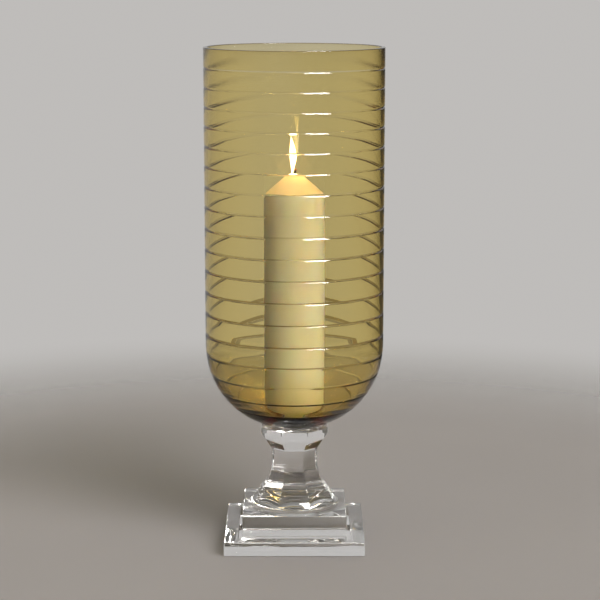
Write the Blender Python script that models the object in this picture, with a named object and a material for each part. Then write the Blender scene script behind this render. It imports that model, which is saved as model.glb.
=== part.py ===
"""Hurricane candle lantern: an amber cut-glass shade on a clear crystal pedestal, with a pillar candle.

Units are metres, +Z is up and the front is -Y. The lantern stands on z = 0, centred on the Z axis.
Pieces that are bonded to each other, or that rest on each other, keep a thin gap between their meshes.
"""

import math

import bpy

GAP = 0.0003

# Crystal plinth: two square blocks, the narrower one on top.
LOWER_SIDE = 0.1172
LOWER_HEIGHT = 0.0119
UPPER_SIDE = 0.0872
UPPER_TOP = 0.0301
PLINTH_CHAMFER = 0.0009

# Crystal stem: eight flat sides on a round foot. Each point is (height, half the width across flats).
FOOT_RADIUS = 0.0372
FOOT_RIM_TOP = 0.0328
STEM_TOP = 0.0977
STEM_SIDES = 8
STEM_SEGMENTS = 40
STEM_OUTLINE = (
    (0.0380, 0.0318),
    (0.0430, 0.0285),
    (0.0465, 0.0255),
    (0.0520, 0.0224),
    (0.0590, 0.0202),
    (0.0680, 0.0191),
    (0.0785, 0.0193),
    (0.0820, 0.0208),
    (0.0910, 0.0264),
    (0.0930, 0.0275),
)
STEM_RIM_HALF_WIDTH = 0.0281
STEM_RIM_CHAMFER = 0.0006

# Amber shade: a straight cylinder above a rounded bowl, whose outline is a superellipse.
SHADE_TOP = 0.4169
SHADE_RADIUS = 0.0750
WALL = 0.0032
RIM_CHAMFER = 0.0005
BOWL_TOP = 0.1723
BOWL_LOW = 0.0970
BOWL_POWER = 2.14
SEAT_HEIGHT = STEM_TOP + GAP
FLOOR_HEIGHT = 0.1080
INNER_BOWL_LOW = 0.1040
INNER_BOWL_STEPS = 12
SHADE_SEGMENTS = 48

# Cut rings: V grooves that run round the shade, a little closer together in its upper half.
RING_COUNT = 18
FIRST_RING = 0.0168
RING_PITCH = 0.01705
RING_SHIFT = 0.0050
RING_SHIFT_SPAN = 13
GROOVE_WIDTH = 0.0020
GROOVE_DEPTH = 0.0006

# Pillar candle, burnt down to a low cone round a small pool. The cone is (radius, height) pairs.
CANDLE_BOTTOM = FLOOR_HEIGHT + GAP
CANDLE_RADIUS = 0.0255
CANDLE_SHOULDER = 0.2962
CANDLE_CONE = (
    (0.0250, 0.2970),
    (0.0240, 0.2980),
    (0.0226, 0.2990),
    (0.0187, 0.3016),
    (0.0141, 0.3047),
    (0.0098, 0.3076),
    (0.0070, 0.3100),
)
CANDLE_LIP_RADIUS = 0.0062
CANDLE_LIP = 0.3104
POOL_RADIUS = 0.0050
POOL_HEIGHT = 0.3094
CANDLE_SEGMENTS = 40

# Braided wick, and the tinned disc with a crimped collar that holds its lower end.
WICK_RADIUS = 0.0011
WICK_BORE = 0.0016
WICK_TIP = 0.3172
WICK_LEAN = 0.0012
DISC_RADIUS = 0.0090
DISC_THICKNESS = 0.0006
COLLAR_RADIUS = 0.0021
COLLAR_HEIGHT = 0.0065
SUSTAINER_SEGMENTS = 24


def clear_scene():
    for existing in list(bpy.data.objects):
        bpy.data.objects.remove(existing, do_unlink=True)


def make_material(name, colour, roughness, metallic=0.0, transmission=0.0, ior=1.5):
    material = bpy.data.materials.new(name)
    material.use_nodes = True
    shader = material.node_tree.nodes["Principled BSDF"]
    shader.inputs["Base Color"].default_value = (*colour, 1.0)
    shader.inputs["Roughness"].default_value = roughness
    shader.inputs["Metallic"].default_value = metallic
    shader.inputs["Transmission Weight"].default_value = transmission
    shader.inputs["IOR"].default_value = ior
    return material


def add_object(name, mesh, material, parent=None, location=(0.0, 0.0, 0.0)):
    mesh.materials.append(material)
    made = bpy.data.objects.new(name, mesh)
    made.location = location
    made.parent = parent
    bpy.context.scene.collection.objects.link(made)
    return made


def ring_mesh(name, rings, sharp_angle=math.radians(35)):
    """A mesh that joins rings of points. A ring of one point closes an end, and without one the rings
    close into a loop, as round a bore."""
    points = [point for ring in rings for point in ring]
    starts = [sum(len(ring) for ring in rings[:i]) for i in range(len(rings))]
    segments = max(len(ring) for ring in rings)
    pairs = list(zip(range(len(rings)), range(1, len(rings))))
    if len(rings[0]) > 1:
        pairs.append((len(rings) - 1, 0))
    faces = []
    for low, high in pairs:
        for i in range(segments):
            j = (i + 1) % segments
            if len(rings[low]) == 1:
                faces.append((starts[low], starts[high] + j, starts[high] + i))
            elif len(rings[high]) == 1:
                faces.append((starts[low] + i, starts[low] + j, starts[high]))
            else:
                faces.append((starts[low] + i, starts[low] + j, starts[high] + j, starts[high] + i))
    mesh = bpy.data.meshes.new(name)
    mesh.from_pydata(points, [], faces)
    mesh.shade_smooth()
    mesh.set_sharp_from_angle(angle=sharp_angle)
    return mesh


def circle(radius, height, segments):
    """A level ring of points, or the one point on the axis where the radius is zero."""
    if radius == 0.0:
        return [(0.0, 0.0, height)]
    turns = [2 * math.pi * i / segments for i in range(segments)]
    return [(radius * math.cos(turn), radius * math.sin(turn), height) for turn in turns]


def turned_mesh(name, outline, segments):
    """A turned solid. Its outline of (radius, height) runs up its outer side."""
    return ring_mesh(name, [circle(radius, height, segments) for radius, height in outline])


def block(name, side, low, high, material):
    """A square block with chamfered edges, standing from low to high."""
    half = side / 2
    corners = [(-half, -half), (half, -half), (half, half), (-half, half)]
    points = [(x, y, z) for z in (low, high) for x, y in corners]
    sides = [(i, (i + 1) % 4, (i + 1) % 4 + 4, i + 4) for i in range(4)]
    mesh = bpy.data.meshes.new(name)
    mesh.from_pydata(points, [], [(3, 2, 1, 0), (4, 5, 6, 7), *sides])
    made = add_object(name, mesh, material)
    bevel = made.modifiers.new("Chamfer", "BEVEL")
    bevel.width = PLINTH_CHAMFER
    bevel.segments = 1
    bevel.limit_method = "ANGLE"
    return made


def octagon_ring(half_width, height, roundness):
    """A ring of the stem. Roundness 0 gives flat sides, one of them to the front, and 1 a circle."""
    side = 2 * math.pi / STEM_SIDES
    ring = []
    for i in range(STEM_SEGMENTS):
        turn = 2 * math.pi * i / STEM_SEGMENTS + side / 2
        off_middle = (turn + side / 2) % side - side / 2
        radius = half_width * (roundness + (1 - roundness) / math.cos(off_middle))
        ring.append((radius * math.cos(turn), radius * math.sin(turn), height))
    return ring


def stem_mesh():
    foot_low = UPPER_TOP + GAP
    rings = [
        [(0.0, 0.0, foot_low)],
        octagon_ring(FOOT_RADIUS, foot_low, 1.0),
        octagon_ring(FOOT_RADIUS, FOOT_RIM_TOP, 1.0),
    ]
    round_span = STEM_OUTLINE[1][0] - FOOT_RIM_TOP
    for height, half_width in STEM_OUTLINE:
        roundness = max(0.0, 1 - (height - FOOT_RIM_TOP) / round_span)
        rings.append(octagon_ring(half_width, height, roundness))
    rings.append(octagon_ring(STEM_RIM_HALF_WIDTH, STEM_TOP - STEM_RIM_CHAMFER, 0.0))
    rings.append(octagon_ring(STEM_RIM_HALF_WIDTH - STEM_RIM_CHAMFER, STEM_TOP, 0.0))
    rings.append([(0.0, 0.0, STEM_TOP)])
    return ring_mesh("pedestal_stem", rings, math.radians(20))


def superellipse(radius, top, low, height):
    """The radius of a bowl's outline at a height. The outline is upright at its top."""
    depth = (top - height) / (top - low)
    if depth <= 0.0:
        return radius
    return radius * (1 - min(depth, 1.0) ** BOWL_POWER) ** (1 / BOWL_POWER)


def shade_walk():
    """Points (distance from the rim, radius, height) down the outer side of the shade, to its seat."""
    walk = [(0.0, SHADE_RADIUS, SHADE_TOP)]
    steps = 600
    for i in range(1, steps + 1):
        angle = (math.pi / 2) * i / steps
        height = BOWL_TOP - (BOWL_TOP - BOWL_LOW) * math.sin(angle)
        radius = superellipse(SHADE_RADIUS, BOWL_TOP, BOWL_LOW, height)
        if height < SEAT_HEIGHT:
            break
        walked = walk[-1][0] + math.hypot(radius - walk[-1][1], height - walk[-1][2])
        walk.append((walked, radius, height))
    return walk


def on_walk(walk, distance, inset=0.0):
    """The point at a distance from the rim, moved into the glass by the inset."""
    for start, end in zip(walk, walk[1:]):
        if end[0] >= distance:
            break
    part = (distance - start[0]) / (end[0] - start[0])
    down = (end[2] - start[2]) / (end[0] - start[0])
    inward = (end[1] - start[1]) / (end[0] - start[0])
    radius = start[1] + part * (end[1] - start[1])
    height = start[2] + part * (end[2] - start[2])
    return radius + inset * down, height - inset * inward


def ring_distance(index):
    """How far below the rim a cut ring lies, measured down the outside of the glass."""
    shift = RING_SHIFT * math.sin(math.pi * min(index / RING_SHIFT_SPAN, 1.0))
    return FIRST_RING + RING_PITCH * index - shift


def shade_outline():
    """The shade's section: up the outside from its seat, over the rim, and down the inside."""
    walk = shade_walk()
    outside = [(SHADE_RADIUS - RIM_CHAMFER, SHADE_TOP), (SHADE_RADIUS, SHADE_TOP - RIM_CHAMFER)]
    for index in range(RING_COUNT):
        middle = ring_distance(index)
        outside.append(on_walk(walk, middle - GROOVE_WIDTH / 2))
        outside.append(on_walk(walk, middle, GROOVE_DEPTH))
        outside.append(on_walk(walk, middle + GROOVE_WIDTH / 2))
        if index + 1 < RING_COUNT and outside[-1][1] < BOWL_TOP + RING_PITCH:
            span = ring_distance(index + 1) - middle
            outside.append(on_walk(walk, middle + span / 2))
    last = walk[-1][0]
    below = ring_distance(RING_COUNT - 1)
    for part in (0.3, 0.6):
        outside.append(on_walk(walk, below + part * (last - below)))
    outside.append((walk[-1][1], SEAT_HEIGHT))
    outside.append((0.0, SEAT_HEIGHT))

    inner_radius = SHADE_RADIUS - WALL
    inside = [(inner_radius + RIM_CHAMFER, SHADE_TOP), (inner_radius, SHADE_TOP - RIM_CHAMFER)]
    floor_depth = (BOWL_TOP - FLOOR_HEIGHT) / (BOWL_TOP - INNER_BOWL_LOW)
    for i in range(INNER_BOWL_STEPS + 1):
        angle = math.asin(floor_depth) * i / INNER_BOWL_STEPS
        height = BOWL_TOP - (BOWL_TOP - INNER_BOWL_LOW) * math.sin(angle)
        inside.append((superellipse(inner_radius, BOWL_TOP, INNER_BOWL_LOW, height), height))
    inside.append((0.0, FLOOR_HEIGHT))
    return outside[::-1] + inside


def candle_outline():
    """The wax's section, with the wick's bore and the recess that the sustainer sits in."""
    recess_top = DISC_THICKNESS + 2 * GAP
    collar_bore = COLLAR_RADIUS + GAP
    collar_top = recess_top + COLLAR_HEIGHT
    height = CANDLE_SHOULDER - CANDLE_BOTTOM
    pool = POOL_HEIGHT - CANDLE_BOTTOM
    edge = 0.0012
    wall = [
        (DISC_RADIUS + GAP, 0.0),
        (CANDLE_RADIUS - edge, 0.0),
        (CANDLE_RADIUS, edge),
        (CANDLE_RADIUS, height / 2),
        (CANDLE_RADIUS, height),
    ]
    cone = [(radius, top - CANDLE_BOTTOM) for radius, top in CANDLE_CONE]
    inside = [
        (CANDLE_LIP_RADIUS, CANDLE_LIP - CANDLE_BOTTOM),
        (POOL_RADIUS, pool),
        (WICK_BORE, pool),
        (WICK_BORE, collar_top),
        (collar_bore, collar_top),
        (collar_bore, recess_top),
        (DISC_RADIUS + GAP, recess_top),
    ]
    return wall + cone + inside


def sustainer_outline():
    """The disc and collar, with a bore that the wick's lower end stands in."""
    bore = WICK_RADIUS + GAP
    return [
        (bore, GAP),
        (DISC_RADIUS, GAP),
        (DISC_RADIUS, GAP + DISC_THICKNESS),
        (COLLAR_RADIUS, GAP + DISC_THICKNESS),
        (COLLAR_RADIUS, COLLAR_HEIGHT),
        (bore, COLLAR_HEIGHT),
    ]


def wick_mesh():
    """The wick, straight through the wax and leaning a little where it stands free."""
    low = 2 * GAP
    pool = POOL_HEIGHT - CANDLE_BOTTOM
    tip = WICK_TIP - CANDLE_BOTTOM
    segments = 12
    heights = [low, pool / 2, pool, pool + 0.4 * (tip - pool), pool + 0.8 * (tip - pool), tip]
    rings = [[(0.0, 0.0, low)]]
    for height in heights:
        free = max(0.0, (height - pool) / (tip - pool))
        radius = WICK_RADIUS * (1 - 0.35 * free ** 4)
        lean = WICK_LEAN * free ** 1.5
        rings.append([(x + lean, y, z) for x, y, z in circle(radius, height, segments)])
    rings.append([(WICK_LEAN, 0.0, tip + WICK_RADIUS / 3)])
    return ring_mesh("candle_wick", rings)


def build():
    clear_scene()
    crystal = make_material("clear_crystal", (0.95, 0.96, 0.96), 0.02, transmission=1.0, ior=1.52)
    amber = make_material("amber_glass", (0.72, 0.52, 0.14), 0.02, transmission=1.0, ior=1.5)
    wax = make_material("ivory_wax", (0.84, 0.74, 0.48), 0.45)
    braid = make_material("wick_braid", (0.10, 0.08, 0.06), 0.9)
    tin = make_material("tinned_steel", (0.72, 0.72, 0.70), 0.3, metallic=1.0)

    block("lower_plinth", LOWER_SIDE, 0.0, LOWER_HEIGHT, crystal)
    block("upper_plinth", UPPER_SIDE, LOWER_HEIGHT + GAP, UPPER_TOP, crystal)
    add_object("pedestal_stem", stem_mesh(), crystal)
    shade = turned_mesh("amber_shade", shade_outline(), SHADE_SEGMENTS)
    add_object("amber_shade", shade, amber)

    axis = bpy.data.objects.new("candle_lift_axis", None)
    axis.location = (0.0, 0.0, CANDLE_BOTTOM)
    bpy.context.scene.collection.objects.link(axis)
    candle = turned_mesh("candle_wax", candle_outline(), CANDLE_SEGMENTS)
    add_object("candle_wax", candle, wax, parent=axis)
    add_object("candle_wick", wick_mesh(), braid, parent=axis)
    sustainer = turned_mesh("wick_sustainer", sustainer_outline(), SUSTAINER_SEGMENTS)
    add_object("wick_sustainer", sustainer, tin, parent=axis)


build()
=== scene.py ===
"""The looks of the hurricane candle lantern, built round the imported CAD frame. Metres, +Z up, front -Y."""

import math
import random

import bmesh
import bpy
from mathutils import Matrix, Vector


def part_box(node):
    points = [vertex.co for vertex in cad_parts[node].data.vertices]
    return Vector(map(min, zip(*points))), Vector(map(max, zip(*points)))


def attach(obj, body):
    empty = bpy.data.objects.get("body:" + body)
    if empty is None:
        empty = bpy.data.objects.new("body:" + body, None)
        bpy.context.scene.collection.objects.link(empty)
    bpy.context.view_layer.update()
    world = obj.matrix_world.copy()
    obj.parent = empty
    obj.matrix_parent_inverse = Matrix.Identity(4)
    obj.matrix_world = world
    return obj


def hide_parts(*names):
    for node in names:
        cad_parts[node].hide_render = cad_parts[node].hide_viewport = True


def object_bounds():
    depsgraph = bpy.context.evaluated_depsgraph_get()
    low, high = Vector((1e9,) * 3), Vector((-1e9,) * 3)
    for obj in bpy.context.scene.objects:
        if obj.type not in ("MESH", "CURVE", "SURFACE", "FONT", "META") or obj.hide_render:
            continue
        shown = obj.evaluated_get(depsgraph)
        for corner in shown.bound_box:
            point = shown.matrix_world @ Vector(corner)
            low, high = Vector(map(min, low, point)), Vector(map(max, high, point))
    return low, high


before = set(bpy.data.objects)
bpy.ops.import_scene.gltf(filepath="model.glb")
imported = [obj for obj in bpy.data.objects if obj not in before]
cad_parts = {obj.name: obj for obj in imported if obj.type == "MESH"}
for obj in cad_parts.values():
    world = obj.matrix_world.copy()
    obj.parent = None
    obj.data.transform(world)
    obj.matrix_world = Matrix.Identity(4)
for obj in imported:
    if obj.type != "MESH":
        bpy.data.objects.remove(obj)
CAD_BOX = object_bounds()

# Places and sizes read from the frame.
SHADE_LOW, SHADE_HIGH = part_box("amber_shade")
UPPER_LOW, UPPER_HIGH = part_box("upper_plinth")
LOWER_LOW, LOWER_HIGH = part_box("lower_plinth")
WAX_LOW, WAX_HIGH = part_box("candle_wax")
WICK_LOW, WICK_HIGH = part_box("candle_wick")
TAB_LOW, TAB_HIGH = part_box("wick_sustainer")

SHADE_TOP = SHADE_HIGH.z
SHADE_RADIUS = SHADE_HIGH.y
SEAT_HEIGHT = SHADE_LOW.z
FLOOR_HEIGHT = WAX_LOW.z - 0.0003
WAX_RADIUS = WAX_HIGH.y

# The shade's section: the same superellipse bowl and wall as the CAD shade.
WALL = 0.0032
RIM_ROUND = 0.0007
BOWL_TOP = 0.1723
BOWL_LOW = 0.0970
BOWL_POWER = 2.14
INNER_BOWL_LOW = 0.1040
SHADE_SEGMENTS = 240
SEAT_BOND_RADIUS = 0.0138

# The cut rings, by their distance down the outside from the rim. Those above the span's end sit nearer
# the rim than an even pitch gives, by the shift at most.
RING_COUNT = 18
FIRST_RING = 0.0168
RING_PITCH = 0.01705
RING_SHIFT = 0.0050
RING_SHIFT_SPAN = 13
GROOVE_WIDTH = 0.0022
GROOVE_DEPTH = 0.00052
RING_WANDER = 0.00012
PLAIN_STEP = 0.0035

# The stem: (height, half the width across flats), smoothed between the points.
STEM_OUTLINE = (
    (0.0332, 0.0364),
    (0.0380, 0.0318),
    (0.0430, 0.0285),
    (0.0465, 0.0255),
    (0.0520, 0.0224),
    (0.0590, 0.0202),
    (0.0680, 0.0191),
    (0.0785, 0.0193),
    (0.0820, 0.0208),
    (0.0910, 0.0264),
    (0.0930, 0.0275),
)
STEM_SIDES = 8
STEM_EDGE_ROUND = 0.0006
STEM_RIM_HALF_WIDTH = 0.0281
FOOT_RADIUS = 0.0372
FOOT_RIM_TOP = 0.0328
FOOT_ROUND_TOP = 0.0430

# The plinth blocks, and the gap at each glued face.
PLINTH_BEVEL = 0.0009
BOND_GAP = 0.00003

# The candle: its shoulder, the (radius, height) pairs of its burnt cone, its molten pool and its wick.
WAX_SHOULDER = 0.2962
WAX_CONE = (
    (0.0251, 0.2969),
    (0.0240, 0.2980),
    (0.0226, 0.2990),
    (0.0187, 0.3016),
    (0.0141, 0.3047),
    (0.0098, 0.3076),
    (0.0070, 0.3099),
)
WAX_SEGMENTS = 144
POOL_HEIGHT = 0.3094
WICK_RADIUS = 0.0011
WICK_BORE = 0.0016
WICK_LEAN = 0.0012

# The flame.
FLAME_LOW = 0.3128
FLAME_HIGH = 0.3422
FLAME_RADIUS = 0.0029
FLAME_LAMP_HEIGHT = 0.328

# The rates per metre at which the amber glass takes out red, green and blue light.
AMBER_RATES = (21.0, 49.0, 182.0)

# The studio.
MIDDLE = (CAD_BOX[0] + CAD_BOX[1]) / 2
FLOOR_RADIUS = 2.4
FLOOR_DROP = 0.0004
FLOOR_FADE = (0.38, 0.90)
KEY_BEARING = (38, 33)
KEY_LIGHT = (12.6, 13.1, 17.6, 1.0)
CAMERA_PLACE = (0.0047, -1.572, 0.489)
CAMERA_LENS = 114.0
CAMERA_DIP_DEGREES = 10.22


# ---------------------------------------------------------------------------------- node helpers

class Shader:
    """A material's node tree, with short calls to add and link nodes."""

    def __init__(self, tree):
        self.tree = tree
        self.tree.nodes.clear()

    def node(self, kind, inputs=None, **settings):
        made = self.tree.nodes.new(kind)
        for name, value in settings.items():
            setattr(made, name, value)
        for name, value in (inputs or {}).items():
            self.put(made.inputs[name], value)
        return made

    def put(self, socket, value):
        if isinstance(value, bpy.types.NodeSocket):
            self.tree.links.new(value, socket)
        else:
            socket.default_value = value

    def math(self, operation, first, second=0.0, clamp=False):
        made = self.node("ShaderNodeMath", operation=operation, use_clamp=clamp)
        self.put(made.inputs[0], first)
        self.put(made.inputs[1], second)
        return made.outputs[0]

    def remap(self, value, low, high, to_low=0.0, to_high=1.0, smooth=True):
        kind = "SMOOTHSTEP" if smooth else "LINEAR"
        made = self.node("ShaderNodeMapRange", interpolation_type=kind)
        for name, number in zip(("Value", "From Min", "From Max", "To Min", "To Max"),
                                (value, low, high, to_low, to_high)):
            self.put(made.inputs[name], number)
        return made.outputs["Result"]

    def noise(self, vector, scale, detail=2.0, stretch=None):
        if stretch:
            vector = self.node("ShaderNodeMapping", {"Vector": vector, "Scale": stretch}).outputs[0]
        inputs = {"Vector": vector, "Scale": scale, "Detail": detail, "Roughness": 0.5}
        return self.node("ShaderNodeTexNoise", inputs).outputs["Fac"]

    def blend(self, factor, first, second):
        made = self.node("ShaderNodeMix", data_type="RGBA")
        self.put(made.inputs[0], factor)
        self.put(made.inputs[6], first)
        self.put(made.inputs[7], second)
        return made.outputs[2]

    def bump(self, height, distance, strength=1.0, normal=None):
        made = self.node("ShaderNodeBump", {"Height": height, "Distance": distance, "Strength": strength})
        if normal is not None:
            self.put(made.inputs["Normal"], normal)
        return made.outputs[0]


def new_material(name):
    material = bpy.data.materials.new(name)
    material.use_nodes = True
    return material, Shader(material.node_tree)


def object_place(shader):
    """Object coordinates, and the height in them."""
    place = shader.node("ShaderNodeTexCoord").outputs["Object"]
    height = shader.node("ShaderNodeSeparateXYZ", {"Vector": place}).outputs["Z"]
    return place, height


# ---------------------------------------------------------------------------------- materials

def absorption(shader, per_metre):
    """A clear tinted volume that takes out each colour at its rate per metre."""
    density = 1.05 * max(per_metre)
    colour = [1 - rate / density for rate in per_metre]
    return shader.node("ShaderNodeVolumeAbsorption", {"Color": (*colour, 1.0), "Density": density})


def amber_glass():
    """Blown amber glass. Its colour deepens with thickness. The cut rings are polished a little less. The
    upper side of each, where "cut" is 1, and the ground rim carry painted shade: a dark tint, strongest on
    the lower rings of the wall and faint higher up, that stands in for dark surroundings seen through the
    cuts. "cut" is 0.5 on the lower."""
    material, s = new_material("amber_glass_blown")
    place, height = object_place(s)
    cut = s.node("ShaderNodeAttribute", attribute_name="cut").outputs["Fac"]
    ground = s.math("MULTIPLY", cut, 2.0, clamp=True)
    # Painted shade: the cut lines are darkened most on the lower wall, less higher up and not low on the
    # bowl, and the rim is darkened too.
    painted_groove_shade = s.math("MULTIPLY", s.remap(height, 0.215, 0.300, 1.0, 0.10), s.remap(height, 0.140, 0.158))
    painted_rim_shade = s.remap(height, SHADE_TOP - 0.0012, SHADE_TOP - 0.0004, 0.0, 0.7)
    line = s.math("MULTIPLY", s.remap(cut, 0.55, 0.85), s.math("MAXIMUM", painted_groove_shade, painted_rim_shade))
    slow = s.noise(place, 14.0, 1.0, stretch=(1.0, 1.0, 0.45))
    streaks = s.noise(place, 900.0, 2.0, stretch=(1.0, 1.0, 5.0))
    smudge = s.noise(place, 45.0, 3.0)
    waves = s.bump(slow, 0.0006, 0.35)
    scratches = s.bump(streaks, 0.00003, 0.5)
    mixed = {0: ground, 4: waves, 5: scratches}
    normal = s.node("ShaderNodeMix", mixed, data_type="VECTOR").outputs[1]
    clean = s.remap(smudge, 0.45, 0.75, 0.0, 0.018)
    rough = s.math("ADD", clean, s.math("MULTIPLY", ground, 0.05))
    # The dark colour here is painted shade in the cuts and on the rim.
    tint = s.blend(line, (1.0, 0.995, 0.98, 1.0), (0.26, 0.20, 0.11, 1.0))
    glass = s.node("ShaderNodeBsdfPrincipled", {
        "Base Color": tint, "Roughness": rough, "IOR": 1.50,
        "Transmission Weight": 1.0, "Normal": normal})
    volume = absorption(s, AMBER_RATES)
    s.node("ShaderNodeOutputMaterial", {"Surface": glass.outputs[0], "Volume": volume.outputs[0]})
    return material


def clear_crystal():
    """Cut and polished clear crystal, with a very slight grey tint in its depth."""
    material, s = new_material("clear_crystal_cut")
    place, _ = object_place(s)
    slow = s.noise(place, 38.0, 1.5)
    fine = s.noise(place, 160.0, 2.0)
    normal = s.bump(slow, 0.00045, 0.35)
    rough = s.remap(fine, 0.45, 0.8, 0.0, 0.02)
    glass = s.node("ShaderNodeBsdfPrincipled", {
        "Base Color": (0.985, 0.985, 0.98, 1.0), "Roughness": rough, "IOR": 1.53,
        "Transmission Weight": 1.0, "Normal": normal})
    s.node("ShaderNodeOutputMaterial", {"Surface": glass.outputs[0]})
    return material


def glue_bond(name, per_metre=None):
    """A glued face between two pieces of glass. Light crosses it straight, as through one block."""
    material, s = new_material(name)
    place, _ = object_place(s)
    patches = s.noise(place, 120.0, 2.0)
    tint = s.blend(s.remap(patches, 0.3, 0.7), (1.0, 1.0, 1.0, 1.0), (0.985, 0.985, 0.98, 1.0))
    clear = s.node("ShaderNodeBsdfTransparent", {"Color": tint})
    inputs = {"Surface": clear.outputs[0]}
    if per_metre:
        inputs["Volume"] = absorption(s, per_metre).outputs[0]
    s.node("ShaderNodeOutputMaterial", inputs)
    return material


def ivory_wax():
    """Ivory wax, with light scattering under its skin. Painted flame light: a warm colour and an emission
    glow on its cone, and a faint glow on the wall just below.
    """
    material, s = new_material("ivory_wax_cast")
    place, height = object_place(s)
    mottle = s.noise(place, 60.0, 3.0)
    sweat = s.noise(place, 420.0, 3.0)
    colour = s.blend(s.remap(mottle, 0.3, 0.7), (0.88, 0.86, 0.76, 1.0), (0.93, 0.92, 0.84, 1.0))
    normal = s.bump(sweat, 0.00006, 0.6, s.bump(mottle, 0.0005, 0.25))
    rough = s.remap(sweat, 0.3, 0.7, 0.36, 0.52)
    flat = s.node("ShaderNodeVectorMath", {0: place, 1: (1.0, 1.0, 0.0)}, operation="MULTIPLY")
    across = s.node("ShaderNodeVectorMath", {0: flat.outputs[0]}, operation="LENGTH").outputs["Value"]
    # Painted flame light: the cone gets a warm colour and an emission glow, strongest near the wick, and the
    # upper wall a faint glow.
    painted_flame_warmth = s.remap(height, WAX_SHOULDER - 0.0002, WAX_SHOULDER + 0.0010)
    colour = s.blend(painted_flame_warmth, colour, (0.87, 0.68, 0.42, 1.0))
    cone = s.math("MULTIPLY", painted_flame_warmth, s.remap(across, 0.003, 0.016, 0.46, 0.02))
    wall = s.math("MULTIPLY", s.remap(height, WAX_SHOULDER - 0.030, WAX_SHOULDER), 0.05)
    glow = s.math("ADD", cone, wall)
    wax = s.node("ShaderNodeBsdfPrincipled", {
        "Base Color": colour, "Roughness": rough, "Normal": normal,
        "IOR": 1.44, "Specular IOR Level": 0.2,
        "Subsurface Weight": 1.0, "Subsurface Radius": (0.010, 0.008, 0.005), "Subsurface Scale": 0.35,
        "Emission Color": (1.0, 0.80, 0.46, 1.0), "Emission Strength": glow})
    s.node("ShaderNodeOutputMaterial", {"Surface": wax.outputs[0]})
    return material


def liquid_wax():
    """The clear molten wax round the wick, with painted flame light: it glows with an orange emission."""
    material, s = new_material("liquid_wax")
    place, _ = object_place(s)
    ripple = s.noise(place, 300.0, 1.0)
    colour = s.blend(ripple, (0.95, 0.84, 0.55, 1.0), (0.98, 0.90, 0.64, 1.0))
    # The emission is painted flame light on the pool.
    wax = s.node("ShaderNodeBsdfPrincipled", {
        "Base Color": colour, "Roughness": s.remap(ripple, 0.0, 1.0, 0.03, 0.08), "IOR": 1.44,
        "Normal": s.bump(ripple, 0.0001, 0.4), "Emission Color": (1.0, 0.66, 0.26, 1.0),
        "Emission Strength": 1.1})
    s.node("ShaderNodeOutputMaterial", {"Surface": wax.outputs[0]})
    return material


def wick_cotton():
    """Braided cotton, pale and waxed inside the candle, charred above it, with an ember at the tip."""
    material, s = new_material("wick_cotton")
    place, height = object_place(s)
    fibre = s.noise(place, 2600.0, 3.0, stretch=(1.0, 1.0, 0.35))
    char = s.remap(height, WAX_HIGH.z - 0.0015, WAX_HIGH.z + 0.0012)
    pale = s.blend(fibre, (0.72, 0.62, 0.42, 1.0), (0.86, 0.78, 0.60, 1.0))
    black = s.blend(fibre, (0.012, 0.009, 0.008, 1.0), (0.060, 0.040, 0.030, 1.0))
    ember = s.remap(height, WICK_HIGH.z - 0.0012, WICK_HIGH.z, 0.0, 2.5)
    cotton = s.node("ShaderNodeBsdfPrincipled", {
        "Base Color": s.blend(char, pale, black), "Roughness": s.remap(fibre, 0.2, 0.8, 0.75, 0.98),
        "Normal": s.bump(fibre, 0.00012, 0.8), "Emission Color": (1.0, 0.25, 0.04, 1.0),
        "Emission Strength": s.math("MULTIPLY", ember, fibre)})
    s.node("ShaderNodeOutputMaterial", {"Surface": cotton.outputs[0]})
    return material


def tinplate():
    """Stamped tinplate, with fine rolling marks and a few dull patches."""
    material, s = new_material("tinplate")
    place, _ = object_place(s)
    marks = s.noise(place, 700.0, 2.0, stretch=(1.0, 14.0, 1.0))
    dull = s.noise(place, 180.0, 3.0)
    colour = s.blend(dull, (0.60, 0.60, 0.58, 1.0), (0.78, 0.78, 0.77, 1.0))
    rough = s.math("ADD", s.remap(marks, 0.3, 0.7, 0.18, 0.30), s.remap(dull, 0.5, 0.8, 0.0, 0.12))
    tin = s.node("ShaderNodeBsdfPrincipled", {
        "Base Color": colour, "Metallic": 1.0, "Roughness": rough, "Normal": s.bump(marks, 0.00002, 0.5)})
    s.node("ShaderNodeOutputMaterial", {"Surface": tin.outputs[0]})
    return material


def flame_light(name, strength, low_colour, high_colour, veil=0.0):
    """A burning gas surface: one colour at the flame's foot and another at its tip, partly see-through."""
    material, s = new_material(name)
    _, height = object_place(s)
    up = s.remap(height, FLAME_LOW, FLAME_HIGH, smooth=False)
    colour = s.blend(up, low_colour, high_colour)
    gas = s.node("ShaderNodeEmission", {"Color": colour, "Strength": strength})
    surface = gas.outputs[0]
    if veil:
        clear = s.node("ShaderNodeBsdfTransparent")
        surface = s.node("ShaderNodeMixShader", {0: 1 - veil, 1: clear.outputs[0], 2: surface}).outputs[0]
    s.node("ShaderNodeOutputMaterial", {"Surface": surface})
    return material


# ---------------------------------------------------------------------------------- mesh helpers

def to_object(name, points, faces, materials, sharp_degrees=40.0):
    mesh = bpy.data.meshes.new(name)
    mesh.from_pydata(points, [], faces)
    for material in materials:
        mesh.materials.append(material)
    mesh.shade_smooth()
    mesh.set_sharp_from_angle(angle=math.radians(sharp_degrees))
    made = bpy.data.objects.new(name, mesh)
    bpy.context.scene.collection.objects.link(made)
    return made


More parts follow.
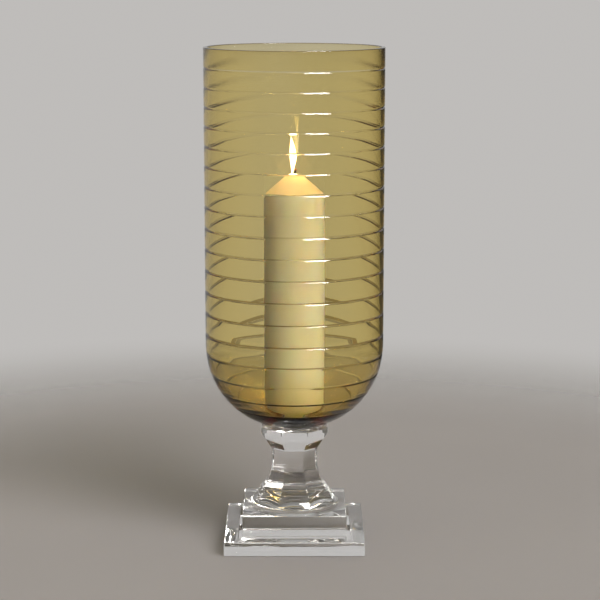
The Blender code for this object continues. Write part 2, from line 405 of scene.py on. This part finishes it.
def ringed(rings):
    """Points and faces that join rings of points. A ring of one point closes an end. Without one the
    rings close into a loop. Each face belongs to its lower ring, in order."""
    points = [point for ring in rings for point in ring]
    starts = [sum(len(ring) for ring in rings[:i]) for i in range(len(rings))]
    segments = max(len(ring) for ring in rings)
    pairs = list(zip(range(len(rings)), range(1, len(rings))))
    if len(rings[0]) > 1:
        pairs.append((len(rings) - 1, 0))
    faces = []
    owners = []
    for low, high in pairs:
        for i in range(segments):
            j = (i + 1) % segments
            if len(rings[low]) == 1:
                faces.append((starts[low], starts[high] + j, starts[high] + i))
            elif len(rings[high]) == 1:
                faces.append((starts[low] + i, starts[low] + j, starts[high]))
            else:
                faces.append((starts[low] + i, starts[low] + j, starts[high] + j, starts[high] + i))
            owners.append(low)
    return points, faces, owners


def circle(radius, height, segments):
    if radius == 0.0:
        return [(0.0, 0.0, height)]
    turns = [2 * math.pi * i / segments for i in range(segments)]
    return [(radius * math.cos(turn), radius * math.sin(turn), height) for turn in turns]


def smooth_between(points, steps):
    """A Catmull-Rom curve through the points, with that many steps between each two."""
    padded = [points[0], *points, points[-1]]
    curve = []
    for a, b, c, d in zip(padded, padded[1:], padded[2:], padded[3:]):
        for k in range(steps):
            t = k / steps
            curve.append(tuple(
                0.5 * (2 * q + (r - p) * t
                       + (2 * p - 5 * q + 4 * r - u) * t * t
                       + (3 * q - p - 3 * r + u) * t ** 3)
                for p, q, r, u in zip(a, b, c, d)))
    curve.append(points[-1])
    return curve


def quarter(centre, radius, start_degrees, steps=4):
    """Points (radius, height) on a quarter circle that turns anticlockwise from the start angle."""
    angles = [math.radians(start_degrees + 90 * k / steps) for k in range(steps + 1)]
    return [(centre[0] + radius * math.cos(a), centre[1] + radius * math.sin(a)) for a in angles]


# ---------------------------------------------------------------------------------- the shade

def bowl_radius(radius, low, height):
    depth = (BOWL_TOP - height) / (BOWL_TOP - low)
    if depth <= 0.0:
        return radius
    return radius * (1 - min(depth, 1.0) ** BOWL_POWER) ** (1 / BOWL_POWER)


def shade_walk():
    """Points (distance from the rim, radius, height) down the outer side, to its seat."""
    walk = [(0.0, SHADE_RADIUS, SHADE_TOP)]
    steps = 1200
    for i in range(1, steps + 1):
        height = BOWL_TOP - (BOWL_TOP - BOWL_LOW) * math.sin(math.pi / 2 * i / steps)
        radius = bowl_radius(SHADE_RADIUS, BOWL_LOW, height)
        if height < SEAT_HEIGHT:
            break
        walked = walk[-1][0] + math.hypot(radius - walk[-1][1], height - walk[-1][2])
        walk.append((walked, radius, height))
    return walk


def on_walk(walk, distance, inset=0.0):
    """The point (radius, height) at a distance from the rim, moved into the glass by the inset."""
    low = 0
    high = len(walk) - 1
    while high - low > 1:
        middle = (low + high) // 2
        if walk[middle][0] > distance:
            high = middle
        else:
            low = middle
    start = walk[low]
    end = walk[high]
    span = end[0] - start[0]
    part = (distance - start[0]) / span
    down = (end[2] - start[2]) / span
    inward = (end[1] - start[1]) / span
    return (start[1] + part * (end[1] - start[1]) + inset * down,
            start[2] + part * (end[2] - start[2]) - inset * inward)


def ring_distance(index):
    shift = RING_SHIFT * math.sin(math.pi * min(index / RING_SHIFT_SPAN, 1.0))
    return FIRST_RING + RING_PITCH * index - shift


def outer_rings(walk):
    """The shade's outer rings of points, from the rim down, and the value of "cut" on each. The section
    across a cut is (place in widths, part of the depth, "cut"), from its upper edge to its lower one."""
    rng = random.Random(7)
    section = ((-0.52, 0.0, 0.0), (-0.50, 0.01, 1.0), (-0.38, 0.17, 1.0), (-0.22, 0.50, 1.0),
               (-0.05, 0.88, 1.0), (0.05, 0.88, 0.5), (0.23, 0.50, 0.5), (0.41, 0.12, 0.5),
               (0.49, 0.01, 0.5), (0.52, 0.0, 0.0))
    rings = []
    cuts = []
    turns = [2 * math.pi * i / SHADE_SEGMENTS for i in range(SHADE_SEGMENTS)]

    def add(distance_of, inset_of, cut):
        ring = []
        for turn in turns:
            radius, height = on_walk(walk, distance_of(turn), inset_of(turn))
            ring.append((radius * math.cos(turn), radius * math.sin(turn), height))
        rings.append(ring)
        cuts.append(cut)

    last = RIM_ROUND
    for index in range(RING_COUNT):
        middle = ring_distance(index)
        phase = rng.uniform(0, 2 * math.pi)
        swell = rng.uniform(0.9, 1.12) * (1 + 0.22 * index / RING_COUNT)
        width = GROOVE_WIDTH * swell
        in_bowl = middle > SHADE_TOP - BOWL_TOP - 0.02
        plain = max(2, round((middle - last) / PLAIN_STEP)) if in_bowl else 2
        for k in range(1, plain):
            between = last + (middle - width - last) * k / plain
            add(lambda turn, d=between: d, lambda turn: 0.0, 0.0)
        for across, depth, cut in section:
            def distance_of(turn, across=across, middle=middle, width=width, phase=phase):
                wander = math.sin(turn + phase) + 0.5 * math.sin(3 * turn + 2 * phase)
                return middle + across * width + RING_WANDER * wander

            def inset_of(turn, depth=depth, swell=swell, phase=phase):
                return GROOVE_DEPTH * swell * depth * (1 + 0.10 * math.sin(2 * turn + phase))

            add(distance_of, inset_of, cut)
        last = middle + width
    end = walk[-1][0]
    for k in range(1, 9):
        add(lambda turn, d=last + (end - last) * k / 9: d, lambda turn: 0.0, 0.0)
    return rings, cuts


def make_shade(glass, bond):
    walk = shade_walk()
    outer, cuts = outer_rings(walk)
    inner_radius = SHADE_RADIUS - WALL
    rim = quarter((SHADE_RADIUS - RIM_ROUND, SHADE_TOP - RIM_ROUND), RIM_ROUND, 0, 7)
    rim += quarter((inner_radius + RIM_ROUND, SHADE_TOP - RIM_ROUND), RIM_ROUND, 90, 7)
    inside = []
    floor_depth = (BOWL_TOP - FLOOR_HEIGHT) / (BOWL_TOP - INNER_BOWL_LOW)
    for k in range(1, 5):
        inside.append((inner_radius, SHADE_TOP - RIM_ROUND - (SHADE_TOP - RIM_ROUND - BOWL_TOP) * k / 5))
    for k in range(41):
        height = BOWL_TOP - (BOWL_TOP - INNER_BOWL_LOW) * math.sin(math.asin(floor_depth) * k / 40)
        inside.append((bowl_radius(inner_radius, INNER_BOWL_LOW, height), height))
    inside.append((inside[-1][0] - 0.0015, FLOOR_HEIGHT - 0.0001))
    inside.append((inside[-1][0] * 0.5, FLOOR_HEIGHT - 0.0001))
    rings = [circle(0.0, SEAT_HEIGHT, 1), circle(SEAT_BOND_RADIUS, SEAT_HEIGHT, SHADE_SEGMENTS)]
    cut_of_ring = [0.0] * 2 + cuts[::-1] + [1.0] * len(rim) + [0.0] * (len(inside) + 1)
    rings += outer[::-1]
    rings += [circle(radius, height, SHADE_SEGMENTS) for radius, height in rim + inside]
    rings.append(circle(0.0, FLOOR_HEIGHT - 0.0001, 1))
    points, faces, owners = ringed(rings)
    shade = to_object("shade_amber_glass", points, faces, [glass, bond], 14)
    for polygon, owner in zip(shade.data.polygons, owners):
        polygon.material_index = 1 if owner == 0 else 0
    values = [cut for cut, ring in zip(cut_of_ring, rings) for _ in ring]
    shade.data.attributes.new("cut", "FLOAT", "POINT").data.foreach_set("value", values)
    return shade


# ---------------------------------------------------------------------------------- the pedestal

def eight_sided(half_width, height, roundness):
    """A ring of the stem: flat sides that meet in small round edges, or with roundness 1 a circle."""
    turn_step = 2 * math.pi / STEM_SIDES
    edge = STEM_EDGE_ROUND
    reach = (half_width - edge) / math.cos(turn_step / 2)
    corner_steps = 4
    flat_steps = 6
    corners = []
    for side in range(STEM_SIDES):
        corner = turn_step * (side + 0.5)
        for k in range(corner_steps + 1):
            lean = corner + turn_step * (k / corner_steps - 0.5)
            corners.append((reach * math.cos(corner) + edge * math.cos(lean),
                            reach * math.sin(corner) + edge * math.sin(lean)))
    ring = []
    for i, (x, y) in enumerate(corners):
        ring.append((x, y))
        if i % (corner_steps + 1) == corner_steps:
            next_x, next_y = corners[(i + 1) % len(corners)]
            ring += [(x + (next_x - x) * k / flat_steps, y + (next_y - y) * k / flat_steps)
                     for k in range(1, flat_steps)]
    shaped = []
    for x, y in ring:
        stretch = 1 - roundness + roundness * half_width / math.hypot(x, y)
        shaped.append((x * stretch, y * stretch, height))
    return shaped


def make_stem(glass, bond):
    low = UPPER_HIGH.z + BOND_GAP
    high = SEAT_HEIGHT - BOND_GAP
    edge = 0.0007
    levels = [(FOOT_RADIUS - edge, low, 1.0)]
    levels += [(r, z, 1.0) for r, z in quarter((FOOT_RADIUS - edge, low + edge), edge, -90)]
    foot_edge = quarter((FOOT_RADIUS - edge, FOOT_RIM_TOP - edge / 2), edge, 0, 5)[:-1]
    levels += [(r, z, 1.0) for r, z in foot_edge]
    for z, half_width in smooth_between(STEM_OUTLINE, 6):
        roundness = 1 - (z - FOOT_RIM_TOP) / (FOOT_ROUND_TOP - FOOT_RIM_TOP)
        roundness = min(max(roundness, 0.0), 1.0)
        levels.append((half_width, z, roundness * roundness * (3 - 2 * roundness)))
    rim = STEM_RIM_HALF_WIDTH
    levels += [(rim - 0.0001, 0.0940, 0.0), (rim, 0.0948, 0.0), (rim, high - 0.0018, 0.0)]
    levels += [(r, z, 0.0) for r, z in quarter((rim - edge, high - edge), edge, 0)]
    rings = [[(0.0, 0.0, low)]] + [eight_sided(*level) for level in levels]
    rings.append(circle(SEAT_BOND_RADIUS, high, len(rings[1])))
    rings.append([(0.0, 0.0, high)])
    points, faces, owners = ringed(rings)
    stem = to_object("stem_crystal", points, faces, [glass, bond], 35)
    for polygon, owner in zip(stem.data.polygons, owners):
        polygon.material_index = 1 if owner in (0, len(rings) - 2) else 0
    return stem


def settle_faces(work):
    """Puts the faces in the order of their corners. A fill leaves them in another order each run."""
    work.verts.index_update()
    in_order = sorted(work.faces, key=lambda face: [vertex.index for vertex in face.verts])
    for index, face in enumerate(in_order):
        face.index = index
    work.faces.sort()


def make_block(name, low, high, glass, bond, top_round=0.0, top_square=0.0, bonded_under=False):
    """A polished square block. The part of its top under the next piece is a bonded face."""
    half = high.x
    mesh = bpy.data.meshes.new(name)
    work = bmesh.new()
    bmesh.ops.create_cube(work, size=1.0)
    for vertex in work.verts:
        vertex.co.x *= 2 * half
        vertex.co.y *= 2 * half
        vertex.co.z = high.z if vertex.co.z > 0 else low.z
    bmesh.ops.bevel(work, geom=work.edges[:], offset=PLINTH_BEVEL, segments=4, profile=0.5,
                    affect="EDGES", clamp_overlap=True)
    work.faces.ensure_lookup_table()
    top = max(work.faces, key=lambda face: (round(face.calc_center_median().z, 6), face.calc_area()))
    under = min(work.faces, key=lambda face: (round(face.calc_center_median().z, 6), -face.calc_area()))
    if bonded_under:
        under.material_index = 1
    if top_square:
        inset = half - PLINTH_BEVEL - top_square
        bmesh.ops.inset_individual(work, faces=[top], thickness=inset)
        top.material_index = 1
    if top_round:
        outline = list(top.edges)
        bmesh.ops.delete(work, geom=[top], context="FACES_ONLY")
        ring = [work.verts.new(point) for point in circle(top_round, high.z, 96)]
        disc = work.faces.new(ring)
        disc.material_index = 1
        bmesh.ops.triangle_fill(work, edges=outline + list(disc.edges), use_beauty=True)
    bmesh.ops.recalc_face_normals(work, faces=work.faces[:])
    settle_faces(work)
    work.to_mesh(mesh)
    work.free()
    mesh.materials.append(glass)
    mesh.materials.append(bond)
    mesh.shade_smooth()
    mesh.set_sharp_from_angle(angle=math.radians(50))
    block = bpy.data.objects.new(name, mesh)
    bpy.context.scene.collection.objects.link(block)
    return block


# ---------------------------------------------------------------------------------- the candle

def make_wax(wax):
    """The candle's body: a straight wall, a low cone burnt round the wick, and the bore and recess."""
    low = WAX_LOW.z
    edge = 0.0012
    tab_radius = TAB_HIGH.x + 0.0003
    recess = TAB_LOW.z + 0.0010
    collar = 0.0024
    collar_top = TAB_HIGH.z + 0.0003
    outline = [(tab_radius, low)]
    outline += quarter((WAX_RADIUS - edge, low + edge), edge, -90)
    outline += [(WAX_RADIUS, low + (WAX_SHOULDER - low) * k / 24) for k in range(1, 24)]
    outline += [(WAX_RADIUS, WAX_SHOULDER - 0.0006), (WAX_RADIUS - 0.0001, WAX_SHOULDER)]
    outline += smooth_between(WAX_CONE, 5)
    lip = WAX_HIGH.z
    outline += [(0.0065, lip - 0.0001), (0.0060, lip), (0.0056, lip - 0.0002), (0.0052, lip - 0.0009)]
    outline += [(0.0044, lip - 0.0014), (0.0026, lip - 0.0015), (WICK_BORE, lip - 0.0015)]
    outline += [(WICK_BORE, collar_top), (collar, collar_top), (collar, recess), (tab_radius, recess)]
    rng = random.Random(3)
    phases = [rng.uniform(0, 2 * math.pi) for _ in range(6)]
    rings = []
    for radius, height in outline:
        ring = []
        for x, y, z in circle(radius, height, WAX_SEGMENTS):
            turn = math.atan2(y, x)
            wave = math.sin(2 * turn + phases[0] + 9 * z) + 0.6 * math.sin(5 * turn + phases[1] - 23 * z)
            wave += 0.5 * math.sin(3 * turn + phases[2] + 41 * z)
            dent = -0.00009 * (wave + 2.1) if radius > 0.008 else 0.0
            melt = 0.00025 * wave if WAX_SHOULDER + 0.001 < height < 0.3095 else 0.0
            ring.append((x * (1 + dent / radius), y * (1 + dent / radius), z + min(melt, WAX_HIGH.z - z)))
        rings.append(ring)
    points, faces, _ = ringed(rings)
    return to_object("candle_body", points, faces, [wax], 38)


def make_pool(material):
    """Molten wax in the hollow round the wick, with its surface drawn up at the edge and the wick."""
    low = POOL_HEIGHT - 0.0003
    top = POOL_HEIGHT + 0.0002
    rings = []
    for radius, height in ((0.0017, low), (0.0043, low), (0.0050, low + 0.0004), (0.0053, top + 0.00025),
                           (0.0048, top + 0.0001), (0.0038, top), (0.0026, top), (0.0017, top + 0.0003)):
        rings.append(circle(radius, height, 96))
    points, faces, _ = ringed(rings)
    return to_object("molten_wax", points, faces, [material], 60)


def wick_centre(height):
    free = max(0.0, (height - POOL_HEIGHT) / (WICK_HIGH.z - POOL_HEIGHT))
    return WICK_LEAN * free ** 1.5, free


def make_wick(cotton):
    """A plaited wick: three strands that wind round each other as one closed cord."""
    segments = 36
    pitch = 0.0042
    low = WICK_LOW.z
    top = WICK_HIGH.z - 0.0003
    middle = 0.300
    plain = [low + (middle - low) * k / 80 for k in range(80)]
    fine = [middle + (top - middle) * k / 90 for k in range(91)]
    rings = [[(0.0, 0.0, low)]]
    for height in plain + fine:
        lean, free = wick_centre(height)
        ring = []
        for i in range(segments):
            turn = 2 * math.pi * i / segments
            plait = abs(math.sin(1.5 * turn + math.pi * height / pitch))
            cross = abs(math.sin(1.5 * turn - math.pi * height / pitch))
            radius = WICK_RADIUS * (0.78 + 0.16 * plait + 0.06 * cross) * (1 - 0.35 * free ** 4)
            ring.append((lean + radius * math.cos(turn), radius * math.sin(turn), height))
        rings.append(ring)
    rings.append([(wick_centre(top)[0], 0.0, WICK_HIGH.z)])
    points, faces, _ = ringed(rings)
    return to_object("wick_braided", points, faces, [cotton], 80)


def make_tab(tin):
    """The sustainer: a stamped disc with a rolled edge and a ridge, and a crimped collar."""
    low = TAB_LOW.z
    radius = TAB_HIGH.x
    thick = 0.0006
    bore = WICK_RADIUS + 0.0003
    collar = 0.0021
    high = TAB_HIGH.z
    outline = [(bore, low), (collar, low), (0.0040, low), (0.0046, low + 0.00015), (0.0052, low + 0.00015),
               (0.0058, low)]
    outline += quarter((radius - thick / 2, low + thick / 2), thick / 2, -90)
    outline += quarter((radius - thick / 2, low + thick / 2), thick / 2, 0)
    outline += [(0.0060, low + thick), (0.0053, low + thick + 0.0001), (0.0045, low + thick + 0.0001),
                (0.0038, low + thick), (collar + 0.0003, low + thick), (collar, low + thick + 0.0003),
                (collar, high - 0.0030), (collar - 0.0002, high - 0.0022), (collar, high - 0.0014),
                (collar, high - 0.0001), (collar - 0.0001, high), (bore + 0.0001, high),
                (bore, high - 0.0001)]
    rings = []
    for r, z in outline:
        ring = []
        for x, y, height in circle(r, z, 72):
            pinch = 0.0
            if bore < r <= collar and z > low + 0.0020:
                pinch = -0.00012 * max(0.0, math.cos(4 * math.atan2(y, x)))
            ring.append((x * (1 + pinch / r), y * (1 + pinch / r), height))
        rings.append(ring)
    points, faces, _ = ringed(rings)
    return to_object("wick_tab", points, faces, [tin], 45)


# ---------------------------------------------------------------------------------- the flame

def make_flame(name, material, swell, low, high):
    """A flame's closed surface: narrow at its foot, widest half way up, and drawn to a point."""
    segments = 48
    steps = 40
    rings = [[(flame_lean(low), 0.0, low)]]
    for k in range(1, steps):
        part = k / steps
        height = low + (high - low) * part
        radius = FLAME_RADIUS * swell * math.sin(math.pi * part ** 1.05) ** 1.25
        lean = flame_lean(height)
        rings.append([(x + lean, y, z) for x, y, z in circle(radius, height, segments)])
    rings.append([(flame_lean(high), 0.0, high)])
    points, faces, _ = ringed(rings)
    return to_object(name, points, faces, [material], 80)


def flame_lean(height):
    """How far the flame's middle stands off the candle's axis."""
    part = (height - FLAME_LOW) / (FLAME_HIGH - FLAME_LOW)
    return -0.0020 + 0.0012 * math.sin(math.pi * part) - 0.0008 * part ** 2


# ---------------------------------------------------------------------------------- the studio

def make_floor():
    """A plain pale floor that fades into the backdrop further out."""
    material, s = new_material("floor_pale")
    place, _ = object_place(s)
    grain = s.noise(place, 6.0, 3.0)
    colour = s.blend(grain, (0.246, 0.219, 0.159, 1.0), (0.262, 0.233, 0.170, 1.0))
    paint = s.node("ShaderNodeBsdfPrincipled", {"Base Color": colour, "Roughness": 0.62})
    clear = s.node("ShaderNodeBsdfTransparent")
    away = s.node("ShaderNodeVectorMath", {0: place}, operation="LENGTH").outputs["Value"]
    fade = s.remap(away, *FLOOR_FADE)
    surface = s.node("ShaderNodeMixShader", {0: fade, 1: paint.outputs[0], 2: clear.outputs[0]})
    s.node("ShaderNodeOutputMaterial", {"Surface": surface.outputs[0]})
    points = circle(FLOOR_RADIUS, -FLOOR_DROP, 96)
    floor = to_object("floor", points, [tuple(range(len(points)))], [material])


def make_world():
    """A pale studio wall all round. What lights matt surfaces is a strong key from the right, over a fill
    that is dim in front and brighter behind. What shines on glass is brighter on the left than on the
    right, and brighter again at the far right and behind."""
    world = bpy.data.worlds.new("studio")
    bpy.context.scene.world = world
    world.use_nodes = True
    s = Shader(world.node_tree)
    toward = s.node("ShaderNodeTexCoord").outputs["Generated"]
    parts = s.node("ShaderNodeSeparateXYZ", {"Vector": toward})
    x, y, z = (parts.outputs[axis] for axis in "XYZ")
    path = s.node("ShaderNodeLightPath").outputs
    wall = s.remap(z, 0.80, 0.97, 0.52, 0.30)

    above = s.remap(z, -0.02, 0.06, smooth=False)
    behind = s.blend(above, s.remap(y, 0.93, 0.995), s.remap(y, 0.50, 0.80))
    sides = s.blend(s.remap(x, -0.35, 0.35), (0.40, 0.395, 0.385, 1.0), (0.07, 0.065, 0.055, 1.0))
    sides = s.blend(s.remap(x, 0.70, 0.97), sides, (0.30, 0.27, 0.22, 1.0))
    shine = s.blend(behind, sides, (0.52, 0.51, 0.50, 1.0))

    key_toward = tuple(bearing(*KEY_BEARING))
    near = s.node("ShaderNodeVectorMath", {0: toward, 1: key_toward}, operation="DOT_PRODUCT")
    lit = s.remap(near.outputs["Value"], 0.88, 0.98)
    fill = s.blend(s.remap(x, -0.8, 0.6), (0.008, 0.006, 0.003, 1.0), (0.080, 0.072, 0.056, 1.0))
    fill = s.blend(s.remap(y, 0.15, 0.75), fill, (0.42, 0.40, 0.40, 1.0))
    matt = s.blend(lit, fill, KEY_LIGHT)

    pale = s.node("ShaderNodeBackground", {"Color": (1.0, 0.972, 0.945, 1.0), "Strength": wall})
    gloss = s.node("ShaderNodeBackground", {"Color": shine})
    soft = s.node("ShaderNodeBackground", {"Color": matt})
    glossy = s.math("GREATER_THAN", path["Glossy Depth"], 0.5)
    diffuse = s.math("GREATER_THAN", path["Diffuse Depth"], 0.5)
    first = s.node("ShaderNodeMixShader", {0: glossy, 1: pale.outputs[0], 2: gloss.outputs[0]})
    second = s.node("ShaderNodeMixShader", {0: diffuse, 1: first.outputs[0], 2: soft.outputs[0]})
    s.node("ShaderNodeOutputWorld", {"Surface": second.outputs[0]})


def area_light(name, toward, distance, size, power, colour, **visible):
    """A softbox that faces the middle of the lantern. With diffuse=False it doesn't light matt surfaces,
    even through glass."""
    data = bpy.data.lights.new(name, "AREA")
    data.shape = "RECTANGLE"
    data.size = size[0]
    data.size_y = size[1]
    data.energy = power
    data.color = colour
    data.use_nodes = True
    s = Shader(data.node_tree)
    strength = 1.0
    if not visible.get("diffuse", True):
        bounced = s.math("GREATER_THAN", s.node("ShaderNodeLightPath").outputs["Diffuse Depth"], 0.5)
        strength = s.math("SUBTRACT", 1.0, bounced)
    glow = s.node("ShaderNodeEmission", {"Strength": strength})
    s.node("ShaderNodeOutputLight", {"Surface": glow.outputs[0]})
    light = bpy.data.objects.new(name, data)
    light.location = MIDDLE + toward.normalized() * distance
    light.rotation_euler = toward.to_track_quat("Z", "Y").to_euler()
    for kind, shown in visible.items():
        setattr(light, f"visible_{kind}", shown)
    bpy.context.scene.collection.objects.link(light)


def bearing(right_degrees, up_degrees):
    """A direction by its turn to the right of the front, and its height above the horizon."""
    right = math.radians(right_degrees)
    up = math.radians(up_degrees)
    return Vector((math.sin(right) * math.cos(up), -math.cos(right) * math.cos(up), math.sin(up)))


def make_lights():
    area_light("glint_softbox", bearing(33, 45.5), 1.5, (0.66, 0.72), 46.0, (1.0, 0.97, 0.93),
               camera=False, diffuse=False)
    area_light("overhead_softbox", bearing(-20, 82), 1.6, (1.2, 1.2), 9.0, (1.0, 0.97, 0.94),
               camera=False, glossy=False)


def make_camera():
    data = bpy.data.cameras.new("camera")
    data.lens = CAMERA_LENS
    data.sensor_width = 36.0
    data.clip_start = 0.05
    camera = bpy.data.objects.new("camera", data)
    camera.location = CAMERA_PLACE
    camera.rotation_euler = (math.radians(90 - CAMERA_DIP_DEGREES), 0.0, 0.0)
    bpy.context.scene.collection.objects.link(camera)
    bpy.context.scene.camera = camera


def flame_lamp(parent):
    """The light that the flame throws on the wax and the glass."""
    data = bpy.data.lights.new("flame_lamp", "POINT")
    data.energy = 0.015
    data.shadow_soft_size = 0.003
    data.color = (1.0, 0.60, 0.24)
    lamp = bpy.data.objects.new("flame_lamp", data)
    lamp.location = (flame_lean(FLAME_LAMP_HEIGHT), 0.0, FLAME_LAMP_HEIGHT)
    lamp.visible_camera = False
    lamp.visible_glossy = False
    lamp.visible_transmission = False
    lamp.parent = parent
    bpy.context.scene.collection.objects.link(lamp)


# ---------------------------------------------------------------------------------- putting it together

def place(piece, body, node, slot):
    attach(piece, body)
    if node:
        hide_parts(node)


def main():
    crystal = clear_crystal()
    bond = glue_bond("glue_bond")
    shade = make_shade(amber_glass(), glue_bond("glue_bond_amber", AMBER_RATES))
    place(shade, "lantern", "amber_shade", "amber_glass")
    place(make_stem(crystal, bond), "lantern", "pedestal_stem", "clear_crystal")
    upper_low = Vector((UPPER_LOW.x, UPPER_LOW.y, LOWER_HIGH.z + BOND_GAP))
    upper = make_block("upper_block_crystal", upper_low, UPPER_HIGH, crystal, bond,
                       top_round=FOOT_RADIUS - 0.0007, bonded_under=True)
    place(upper, "lantern", "upper_plinth", "clear_crystal")
    lower = make_block("lower_slab_crystal", LOWER_LOW, LOWER_HIGH, crystal, bond,
                       top_square=UPPER_HIGH.x - PLINTH_BEVEL)
    place(lower, "lantern", "lower_plinth", "clear_crystal")
    place(make_wax(ivory_wax()), "candle", "candle_wax", "ivory_wax")
    place(make_pool(liquid_wax()), "candle", None, "ivory_wax")
    place(make_wick(wick_cotton()), "candle", "candle_wick", "wick_braid")
    place(make_tab(tinplate()), "candle", "wick_sustainer", "tinned_steel")
    core = flame_light("flame_core", 12.0, (1.0, 0.86, 0.58, 1.0), (1.0, 0.90, 0.66, 1.0))
    veil = flame_light("flame_veil", 3.0, (0.85, 0.55, 0.40, 1.0), (1.0, 0.55, 0.16, 1.0), veil=0.72)
    flame = make_flame("flame_core", core, 1.0, FLAME_LOW, FLAME_HIGH)
    outer = make_flame("flame_veil", veil, 1.22, FLAME_LOW - 0.0010, FLAME_HIGH + 0.0012)
    for gas in (flame, outer):
        gas.visible_shadow = False
        place(gas, "candle", None, None)
    flame_lamp(flame)
    make_floor()
    make_world()
    make_lights()
    make_camera()


def set_light_paths():
    """Enough bounces for light to cross every wall of the glass."""
    cycles = bpy.context.scene.cycles
    cycles.max_bounces = 26
    cycles.transmission_bounces = 24
    cycles.glossy_bounces = 10
    cycles.diffuse_bounces = 4
    cycles.transparent_max_bounces = 24
    cycles.sample_clamp_indirect = 40.0
    bpy.context.scene.view_settings.view_transform = "Standard"


main()
set_light_paths()
